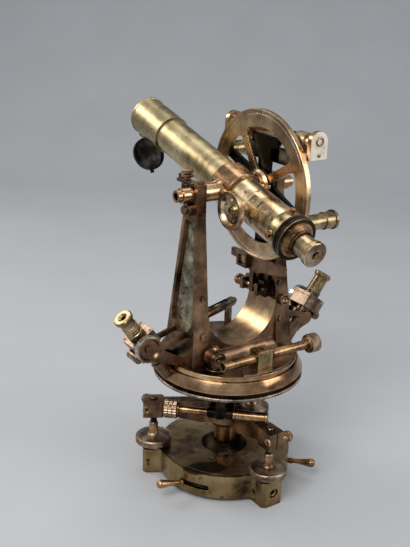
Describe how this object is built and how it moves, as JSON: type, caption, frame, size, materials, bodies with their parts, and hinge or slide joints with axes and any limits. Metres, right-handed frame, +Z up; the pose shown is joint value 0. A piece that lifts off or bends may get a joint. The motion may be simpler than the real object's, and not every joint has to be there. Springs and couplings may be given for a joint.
{
  "type": "micrometer theodolite",
  "caption": "Transit theodolite: telescope with vertical circle and level on two standards, micrometer microscopes over a horizontal circle, and a levelling base with footscrews.",
  "frame": {"origin": "centre of the tripod socket's mouth, on the vertical axis, at the surface that the foot plate stands on", "axes": "+Z up the vertical axis, +Y toward the objective, -Y toward the eyepiece, +X along the transit axis toward the vertical circle"},
  "size_m": [0.256, 0.2954, 0.3736],
  "materials": {
    "bronze": "worn satin",
    "brass": "polished",
    "green_brass": "tarnished",
    "silver": "satin",
    "black": "semi-gloss",
    "glass": "polished",
    "mirror": "polished"
  },
  "bodies": {
    "foot_plate": {"foot_plate": "green_brass", "tribrach": "bronze", "tribrach_clamps": "brass", "socket_drum": "black", "lower_clamp_ring": "black", "lower_yoke": "black", "lower_spring_box": "bronze"},
    "locking_ring": {"locking_ring": "black", "lever_handles": "brass"},
    "screw_front": {"footscrew_front": "silver"},
    "screw_left": {"footscrew_left": "silver"},
    "screw_right": {"footscrew_right": "silver"},
    "lower_clamp_screw": {"lower_clamp_screw": "brass"},
    "lower_tangent_screw": {"lower_tangent_screw": "bronze"},
    "circle": {"horizontal_circle": "silver"},
    "alidade": {"alidade_plate": "bronze", "cover_plate": "silver", "standards": "bronze", "standard_screws": "bronze", "clip_fork": "bronze", "bracket_left": "bronze", "bracket_right": "bronze", "scope_left": "brass", "scope_right": "brass", "plate_level": "silver", "plate_vial": "glass", "upper_clamp": "bronze", "upper_tangent_block": "brass"},
    "cap_left": {"cap_left": "silver"},
    "cap_right": {"cap_right": "silver"},
    "cap_screw_left": {"cap_screw_left": "brass"},
    "cap_screw_right": {"cap_screw_right": "brass"},
    "telescope": {"transit_axis": "bronze", "front_tube": "green_brass", "rear_tube": "brass", "objective_lens": "glass", "reticle_ring": "black", "reticle_screws": "bronze", "vertical_circle": "bronze"},
    "dew_cap": {"dew_cap": "green_brass"},
    "dust_cap": {"dust_cap": "black"},
    "focus_wheel": {"focus_wheel": "brass"},
    "focus_carriage": {"focus_carriage": "brass"},
    "eyepiece": {"eyepiece": "brass"},
    "index_arm": {"index_arm": "bronze", "altitude_level": "silver", "altitude_vial": "glass", "circle_scope_front": "brass", "circle_scope_back": "brass"},
    "clip_screw_front": {"clip_screw_front": "black"},
    "clip_screw_back": {"clip_screw_back": "bronze"},
    "level_mirror": {"level_mirror": "mirror"},
    "drum_left": {"drum_left": "silver"},
    "drum_right": {"drum_right": "silver"},
    "ocular_left": {"ocular_left": "brass"},
    "ocular_right": {"ocular_right": "brass"},
    "upper_clamp_screw": {"upper_clamp_screw": "brass"},
    "upper_tangent_screw": {"upper_tangent_screw": "brass"}
  },
  "joints": [
    {"name": "lever_turn", "type": "hinge", "parent": "foot_plate", "child": "locking_ring", "pos_m": [0, 0, 0.014], "axis": [0, 0, 1], "range_deg": [0, 21]},
    {"name": "screw_front_turn", "type": "hinge", "parent": "foot_plate", "child": "screw_front", "pos_m": [0, -0.074, 0.03], "axis": [0, 0, 1], "range_deg": [-540, 540]},
    {"name": "screw_left_turn", "type": "hinge", "parent": "foot_plate", "child": "screw_left", "pos_m": [-0.06409, 0.037, 0.03], "axis": [0, 0, 1], "range_deg": [-540, 540]},
    {"name": "screw_right_turn", "type": "hinge", "parent": "foot_plate", "child": "screw_right", "pos_m": [0.06409, 0.037, 0.03], "axis": [0, 0, 1], "range_deg": [-540, 540]},
    {"name": "lower_clamp_turn", "type": "hinge", "parent": "foot_plate", "child": "lower_clamp_screw", "pos_m": [0.01733, 0.01871, 0.10325], "axis": [0.7337, -0.6794, 0], "range_deg": [-90, 360]},
    {"name": "lower_tangent_turn", "type": "hinge", "parent": "foot_plate", "child": "lower_tangent_screw", "pos_m": [-0.0299, -0.03228, 0.086], "axis": [-0.7337, 0.6794, 0], "range_deg": [-720, 720]},
    {"name": "circle_turn", "type": "hinge", "parent": "foot_plate", "child": "circle", "pos_m": [0, 0, 0.1], "axis": [0, 0, 1], "continuous": true},
    {"name": "alidade_turn", "type": "hinge", "parent": "circle", "child": "alidade", "pos_m": [0, 0, 0.12], "axis": [0, 0, 1], "continuous": true},
    {"name": "cap_left_swing", "type": "hinge", "parent": "alidade", "child": "cap_left", "pos_m": [-0.04525, -0.0093, 0.31], "axis": [0, 0, 1], "range_deg": [0, 100]},
    {"name": "cap_right_swing", "type": "hinge", "parent": "alidade", "child": "cap_right", "pos_m": [0.04525, -0.0093, 0.31], "axis": [0, 0, 1], "range_deg": [-100, 0]},
    {"name": "cap_screw_left_turn", "type": "hinge", "parent": "cap_left", "child": "cap_screw_left", "pos_m": [-0.04525, 0.0128, 0.315], "axis": [0, 0, 1], "range_deg": [-720, 720]},
    {"name": "cap_screw_right_turn", "type": "hinge", "parent": "cap_right", "child": "cap_screw_right", "pos_m": [0.04525, 0.0128, 0.315], "axis": [0, 0, 1], "range_deg": [-720, 720]},
    {"name": "telescope_tilt", "type": "hinge", "parent": "alidade", "child": "telescope", "pos_m": [0, 0, 0.301], "axis": [1, 0, 0], "range_deg": [-45, 215]},
    {"name": "dew_cap_slide", "type": "slide", "parent": "telescope", "child": "dew_cap", "axis": [0, 0.9659, 0.2588], "range_m": [0, 0.012]},
    {"name": "dust_cap_swing", "type": "hinge", "parent": "dew_cap", "child": "dust_cap", "pos_m": [0, 0.171, 0.32353], "axis": [1, 0, 0], "range_deg": [0, 220]},
    {"name": "focus_turn", "type": "hinge", "parent": "telescope", "child": "focus_wheel", "pos_m": [0, -0.03477, 0.29168], "axis": [1, 0, 0], "range_deg": [-172, 172]},
    {"name": "carriage_slide", "type": "slide", "parent": "telescope", "child": "focus_carriage", "axis": [0, 0.9659, 0.2588], "range_m": [-0.0121, 0.0121]},
    {"name": "eyepiece_slide", "type": "slide", "parent": "telescope", "child": "eyepiece", "axis": [0, -0.9659, -0.2588], "range_m": [-0.002, 0.004]},
    {"name": "index_turn", "type": "hinge", "parent": "alidade", "child": "index_arm", "pos_m": [0, 0, 0.301], "axis": [1, 0, 0], "range_deg": [-0.6, 0.6]},
    {"name": "clip_front_slide", "type": "slide", "parent": "alidade", "child": "clip_screw_front", "axis": [0, 1, 0], "range_m": [-0.0012, 0.0012]},
    {"name": "clip_back_slide", "type": "slide", "parent": "alidade", "child": "clip_screw_back", "axis": [0, 1, 0], "range_m": [-0.0012, 0.0012]},
    {"name": "mirror_swing", "type": "hinge", "parent": "index_arm", "child": "level_mirror", "pos_m": [0.0387, 0, 0.3383], "axis": [0, -1, 0], "range_deg": [0, 70]},
    {"name": "drum_left_turn", "type": "hinge", "parent": "alidade", "child": "drum_left", "pos_m": [-0.10333, -0.015, 0.16577], "axis": [0, -1, 0], "range_deg": [-720, 720]},
    {"name": "drum_right_turn", "type": "hinge", "parent": "alidade", "child": "drum_right", "pos_m": [0.10333, 0.015, 0.16577], "axis": [0, 1, 0], "range_deg": [-720, 720]},
    {"name": "ocular_left_slide", "type": "slide", "parent": "alidade", "child": "ocular_left", "axis": [-0.5948, 0, 0.8039], "range_m": [0, 0.004]},
    {"name": "ocular_right_slide", "type": "slide", "parent": "alidade", "child": "ocular_right", "axis": [0.5948, 0, 0.8039], "range_m": [0, 0.004]},
    {"name": "upper_clamp_turn", "type": "hinge", "parent": "alidade", "child": "upper_clamp_screw", "pos_m": [-0.041, -0.036, 0.157], "axis": [0, 0, 1], "range_deg": [-90, 360]},
    {"name": "upper_tangent_turn", "type": "hinge", "parent": "alidade", "child": "upper_tangent_screw", "pos_m": [0, -0.0535, 0.1486], "axis": [1, 0, 0], "range_deg": [-720, 720]}
  ],
  "couplings": [
    {"joint": "carriage_slide", "follows": "focus_turn", "m_per_rad": 0.004},
    {"joint": "clip_front_slide", "follows": "index_turn", "m_per_rad": 0.107},
    {"joint": "clip_back_slide", "follows": "index_turn", "m_per_rad": 0.107}
  ]
}
